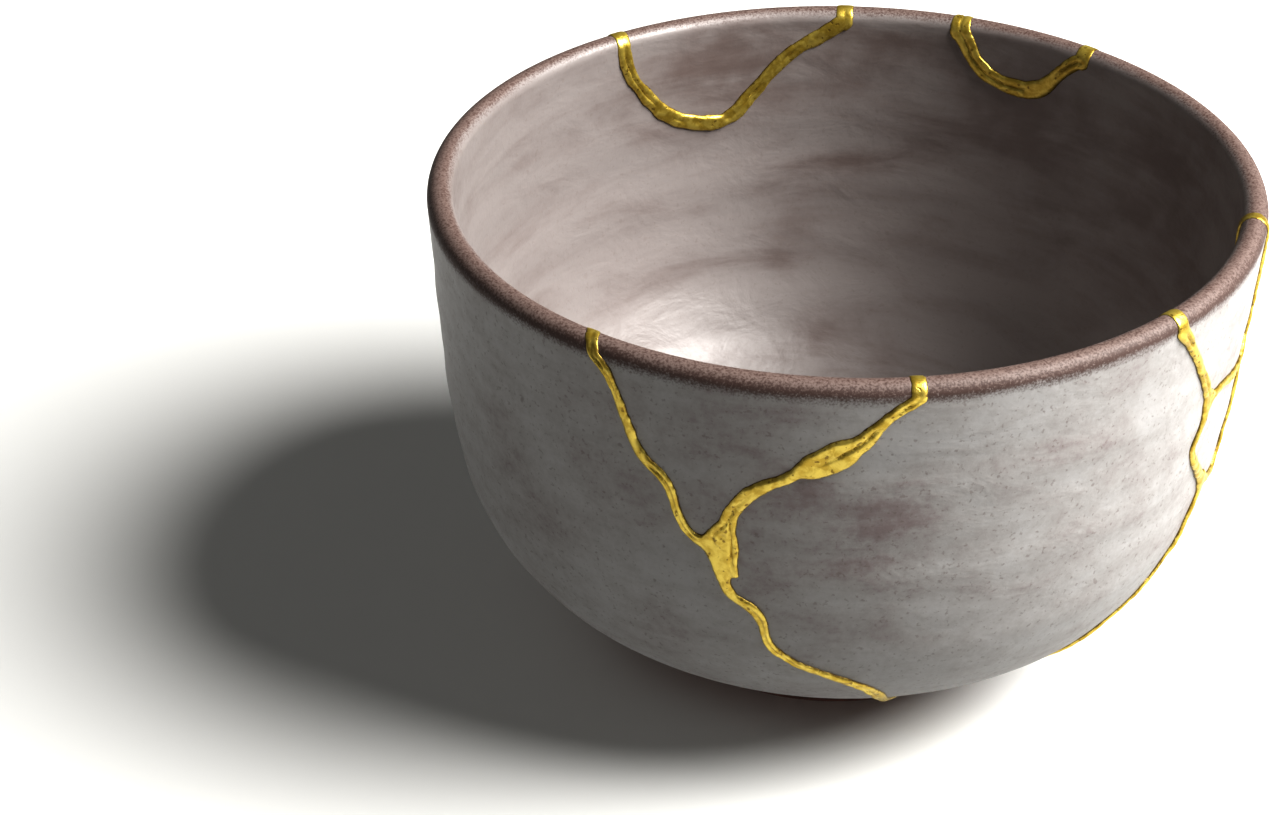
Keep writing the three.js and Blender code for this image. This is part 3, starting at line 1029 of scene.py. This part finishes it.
def make_gold(name, material):
    points, faces, depth = gold_skin(name)
    for route in ROUTES[name]:
        filling, filling_faces = slab(route, FILLING_WIDTH, -GOLD_DEPTH / 2)
        faces += [[len(points) + corner for corner in face] for face in filling_faces]
        points = np.concatenate([points, filling])
    gold = mesh_object(name + "_raised", out_of_round(points) * MM, faces)
    edge = np.zeros(len(points))
    edge[: len(depth)] = depth
    set_attribute(gold.data, "from_edge", edge)
    smooth_shade(gold.data, GOLD_SHARP_ANGLE)
    gold.data.materials.append(material)
    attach(gold, "root")
    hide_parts(name)


# ---- Materials. ----
class Nodes:
    """A material's node tree, with short calls to add to it."""

    def __init__(self, name):
        self.material = bpy.data.materials.new(name)
        self.material.use_nodes = True
        self.tree = self.material.node_tree
        self.shader = self.tree.nodes["Principled BSDF"]

    def add(self, kind, inputs=(), **settings):
        """A new node. Each input is a number, a colour or another node's socket."""
        node = self.tree.nodes.new("ShaderNode" + kind)
        for key, value in settings.items():
            setattr(node, key, value)
        for socket, value in dict(inputs).items():
            self.give(node.inputs[socket], value)
        return node

    def give(self, socket, value):
        if isinstance(value, bpy.types.NodeSocket):
            self.tree.links.new(value, socket)
        else:
            socket.default_value = value

    def math(self, operation, first, second=0.0, third=0.0):
        return self.add("Math", {0: first, 1: second, 2: third}, operation=operation).outputs[0]

    def ramp(self, value, low, high, start=0.0, end=1.0):
        """A smooth step of a value from start to end as it goes from low to high."""
        inputs = {"Value": value, "From Min": low, "From Max": high, "To Min": start, "To Max": end}
        return self.add("MapRange", inputs, interpolation_type="SMOOTHSTEP").outputs["Result"]

    def noise(self, vector, scale, detail, roughness, distortion):
        inputs = {"Vector": vector, "Scale": scale, "Detail": detail}
        inputs |= {"Roughness": roughness, "Distortion": distortion}
        return self.add("TexNoise", inputs).outputs["Fac"]

    def mix(self, share, first, second):
        inputs = {"Factor": share, 6: first, 7: second}
        return self.add("Mix", inputs, data_type="RGBA").outputs[2]

    def finished(self, inputs):
        """The material, once the shader has these inputs."""
        for socket, value in inputs.items():
            self.give(self.shader.inputs[socket], value)
        return self.material

    def attribute(self, name):
        return self.add("Attribute", attribute_name=name).outputs["Fac"]

    def total(self, values, shares):
        """The sum of the named values, each times its share."""
        made = 0.0
        for name, share in shares.items():
            made = self.math("MULTIPLY_ADD", values[name], share, made)
        return made

    def ragged(self, value, noise, amount):
        """A value pushed up and down by a noise, which is a half on average."""
        return self.math("MULTIPLY_ADD", self.math("SUBTRACT", noise, 0.5), amount, value)

    def bump(self, height, distance, strength, normal=None):
        inputs = {"Height": height, "Distance": distance, "Strength": strength}
        if normal is not None:
            inputs["Normal"] = normal
        return self.add("Bump", inputs).outputs["Normal"]


def glaze_noises(nodes, from_lip):
    """Every noise in the glaze by name, with the sherds' own attribute for the darker clouds and the painted
    shade inside.
    """
    spot = nodes.add("TexCoord").outputs["Object"]
    flat = nodes.add("VectorMath", {0: spot, 1: (1.0, 1.0, 0.0)}, operation="MULTIPLY").outputs[0]
    radius = nodes.add("VectorMath", {0: flat}, operation="LENGTH").outputs["Value"]
    shrink = nodes.math("DIVIDE", 1.0, nodes.math("MAXIMUM", radius, BRUSHED_CORE))
    direction = nodes.add("VectorMath", {0: flat, "Scale": shrink}, operation="SCALE").outputs[0]
    noises = {name: nodes.noise(spot, *recipe) for name, recipe in GLAZE_NOISES.items()}
    for name, ((turn_scale, run_scale, shift), recipe) in BRUSHED_NOISES.items():
        scaled = nodes.add("VectorMath", {0: direction, "Scale": turn_scale}, operation="SCALE").outputs[0]
        level = nodes.math("MULTIPLY_ADD", from_lip, run_scale, shift)
        lift = nodes.add("CombineXYZ", {"Z": level}).outputs[0]
        brushed = nodes.add("VectorMath", {0: scaled, 1: lift}, operation="ADD").outputs[0]
        noises[name] = nodes.noise(brushed, *recipe)
    # The sherds' cloud attribute: darker glaze, and painted shade inside.
    noises["cloud_and_shade"] = nodes.attribute("cloud_and_shade")
    return noises


def outer_glaze(nodes, noises):
    """Milky grey, mauve where it is worn and whiter where it lies thick."""
    worn = nodes.total(noises, OUTER_WEAR)
    outer = nodes.mix(nodes.ramp(worn, *MAUVE_RANGE), OUTER_GREY, OUTER_MAUVE)
    return nodes.mix(nodes.ramp(worn, *MILK_RANGE, 0.0, MILK_SHARE), outer, OUTER_MILK)


def inner_glaze(nodes, noises):
    """Warmer and browner, in soft rings and clouds, with painted shade on the inner right wall that the rim
    shades.
    """
    worn = nodes.total(noises, INNER_WEAR)
    return nodes.mix(nodes.ramp(worn, *BROWN_RANGE), INNER_PALE, INNER_BROWN)


def iron_cover(nodes, noises, from_lip):
    """How much iron shows through at the rim, with a ragged edge."""
    off_middle = nodes.math("ABSOLUTE", nodes.math("SUBTRACT", from_lip, IRON_MIDDLE))
    for name, amount in IRON_RAGGED.items():
        off_middle = nodes.ragged(off_middle, noises[name], amount)
    return nodes.ramp(off_middle, *IRON_RANGE)


def iron_colour(nodes, noises, from_lip):
    """Grainy brown, darker along the band's lower edge."""
    line = nodes.math("MULTIPLY_ADD", noises["patches"], IRON_LINE_RAGGED, from_lip)
    line = nodes.ramp(line, *IRON_LINE_RANGE)
    grainy = nodes.math("MULTIPLY_ADD", line, IRON_LINE_DARKER, noises["powder"])
    return nodes.mix(nodes.ramp(grainy, *IRON_GRAIN_RANGE), IRON_BROWN, IRON_PALE)


def clay_cover(nodes, noises, from_lip):
    """How much bare clay shows: all of it below a ragged line just above the shoulder."""
    line = nodes.ragged(from_lip, noises["patches"], CLAY_RAGGED)
    return nodes.ramp(line, SECTION.shoulder + CLAY_START, SECTION.shoulder + CLAY_FULL)


def clay_colour(nodes, noises):
    return nodes.mix(nodes.ramp(noises["mottle"], *CLAY_MOTTLE_RANGE), CLAY_DARK, CLAY_RED)


def glaze_material():
    nodes = Nodes("satin_glaze")
    from_lip = nodes.attribute("from_lip")
    noises = glaze_noises(nodes, from_lip)
    inside = nodes.ramp(from_lip, *INSIDE_RANGE)
    specks = nodes.ramp(noises["specks"], *SPECK_RANGE)
    specks = nodes.math("MULTIPLY", specks, nodes.ramp(inside, 0.0, 1.0, *SPECK_SHARES))
    spots = nodes.ramp(noises["spots"], *SPOT_RANGE)
    spots = nodes.math("MULTIPLY", spots, nodes.ramp(inside, 0.0, 1.0, *SPOT_SHARES))
    iron = iron_cover(nodes, noises, from_lip)
    clay = clay_cover(nodes, noises, from_lip)

    colour = nodes.mix(inside, outer_glaze(nodes, noises), inner_glaze(nodes, noises))
    colour = nodes.mix(nodes.math("MAXIMUM", specks, spots), colour, SPECK_BROWN)
    colour = nodes.mix(nodes.math("MULTIPLY", iron, IRON_COVER), colour, iron_colour(nodes, noises, from_lip))
    colour = nodes.mix(clay, colour, clay_colour(nodes, noises))

    satin = nodes.ramp(inside, 0.0, 1.0, *GLAZE_ROUGHNESS)
    satin = nodes.math("MULTIPLY_ADD", noises["mottle"], ROUGHNESS_MOTTLE, satin)
    satin = nodes.math("MULTIPLY_ADD", iron, IRON_ROUGHER, satin)
    roughness = nodes.math("MAXIMUM", satin, nodes.math("MULTIPLY", clay, CLAY_ROUGHNESS))

    normal = None
    for name, (height, strength) in GLAZE_BUMPS.items():
        normal = nodes.bump(noises[name], height, strength, normal)
    normal = nodes.bump(spots, *SPOT_BUMP, normal)
    inputs = {"Base Color": colour, "Roughness": roughness, "Normal": normal, "IOR": GLAZE_IOR}
    return nodes.finished(inputs)


def gold_material():
    """Brushed gold powder, pitted here and there with painted shade in the pits, with brown lacquer showing
    at its edge.
    """
    nodes = Nodes("gold_lacquer")
    spot = nodes.add("TexCoord").outputs["Object"]
    noises = {name: nodes.noise(spot, *recipe) for name, recipe in GOLD_NOISES.items()}
    shaded_pits = nodes.math("MULTIPLY", nodes.ramp(noises["shaded_pits"], *PIT_RANGE), PIT_COVER)
    lacquer = nodes.ragged(nodes.attribute("from_edge"), noises["brushing"], LACQUER_RAGGED)
    lacquer = nodes.math("MULTIPLY", nodes.ramp(lacquer, *LACQUER_RANGE), LACQUER_COVER)
    tone = nodes.mix(nodes.ramp(noises["brushing"], *GOLD_TONE_RANGE), GOLD_DEEP, GOLD_BRIGHT)
    # Painted shade: the pits take the gold's shaded olive.
    tone = nodes.mix(shaded_pits, tone, GOLD_SHADE)
    tone = nodes.mix(lacquer, tone, LACQUER_BROWN)
    roughness = nodes.math("MULTIPLY_ADD", noises["powder"], GOLD_ROUGHNESS_POWDER, GOLD_ROUGHNESS)
    normal = None
    for name, (height, strength) in GOLD_BUMPS.items():
        normal = nodes.bump(noises[name], height, strength, normal)
    normal = nodes.bump(shaded_pits, *PIT_BUMP, normal)
    inputs = {"Base Color": tone, "Roughness": roughness, "Normal": normal, "Metallic": GOLD_METALLIC}
    return nodes.finished(inputs)


def floor_material():
    inputs = {"Base Color": FLOOR_PALE, "Roughness": FLOOR_ROUGHNESS, "Specular IOR Level": FLOOR_SPECULAR}
    return Nodes("pale_floor").finished(inputs)


# ---- Floor, lights and camera. ----
def make_floor():
    """A floor at the foot's level. The world gives the bowl the light that a table would give back."""
    half = FLOOR_SIZE / 2
    level = CAD_BOX[0].z
    corners = [(-half, -half, level), (half, -half, level), (half, half, level), (-half, half, level)]
    floor = mesh_object("floor", np.array(corners), [[0, 1, 2, 3]])
    floor.data.materials.append(floor_material())
    floor.visible_diffuse = False
    floor.visible_shadow = False


def make_key():
    """A round light that faces the bowl. Azimuth is measured from +X towards +Y."""
    turn, lift = math.radians(KEY_AZIMUTH), math.radians(KEY_ELEVATION)
    away = Vector((math.cos(turn) * math.cos(lift), math.sin(turn) * math.cos(lift), math.sin(lift)))
    middle = (CAD_BOX[0] + CAD_BOX[1]) / 2
    data = bpy.data.lights.new("key", "AREA")
    data.shape, data.size, data.energy, data.color = "DISK", KEY_WIDTH, KEY_POWER, KEY_TINT
    light = bpy.data.objects.new("key", data)
    light.location = middle + away * KEY_DISTANCE
    light.rotation_euler = away.to_track_quat("Z", "Y").to_euler()
    bpy.context.scene.collection.objects.link(light)


def make_world():
    """Even light: dim from above, and from below the glow that a lit table gives back."""
    world = bpy.data.worlds.new("studio")
    world.use_nodes = True
    nodes = world.node_tree.nodes
    background = nodes["Background"]
    background.inputs["Color"].default_value = SKY_TINT
    direction = nodes.new("ShaderNodeTexCoord")
    split = nodes.new("ShaderNodeSeparateXYZ")
    strength = nodes.new("ShaderNodeMapRange")
    levels = {"From Min": -HORIZON_BAND, "From Max": HORIZON_BAND}
    levels |= {"To Min": BOUNCE_STRENGTH, "To Max": SKY_STRENGTH}
    for socket, value in levels.items():
        strength.inputs[socket].default_value = value
    link = world.node_tree.links.new
    link(direction.outputs["Generated"], split.inputs[0])
    link(split.outputs["Z"], strength.inputs["Value"])
    link(strength.outputs["Result"], background.inputs["Strength"])
    bpy.context.scene.world = world


def make_camera():
    data = bpy.data.cameras.new("camera")
    data.sensor_width, data.lens = SENSOR_WIDTH, LENS_LENGTH
    data.clip_start, data.clip_end = CLIP_NEAR, CLIP_FAR
    camera = bpy.data.objects.new("camera", data)
    turned = Matrix.Rotation(math.radians(CAMERA_YAW), 4, "Z")
    tilted = Matrix.Rotation(math.radians(90.0 - CAMERA_PITCH), 4, "X")
    rolled = Matrix.Rotation(math.radians(CAMERA_ROLL), 4, "Z")
    camera.matrix_world = Matrix.Translation(Vector(CAMERA_PLACE) * MM) @ turned @ tilted @ rolled
    bpy.context.scene.collection.objects.link(camera)
    bpy.context.scene.camera = camera


make_camera()
make_world()
make_floor()
make_key()
make_sherds(glaze_material())
gold = gold_material()
for name in ROUTES:
    make_gold(name, gold)
view = bpy.context.scene.view_settings
view.view_transform, view.gamma = "Standard", VIEW_GAMMA
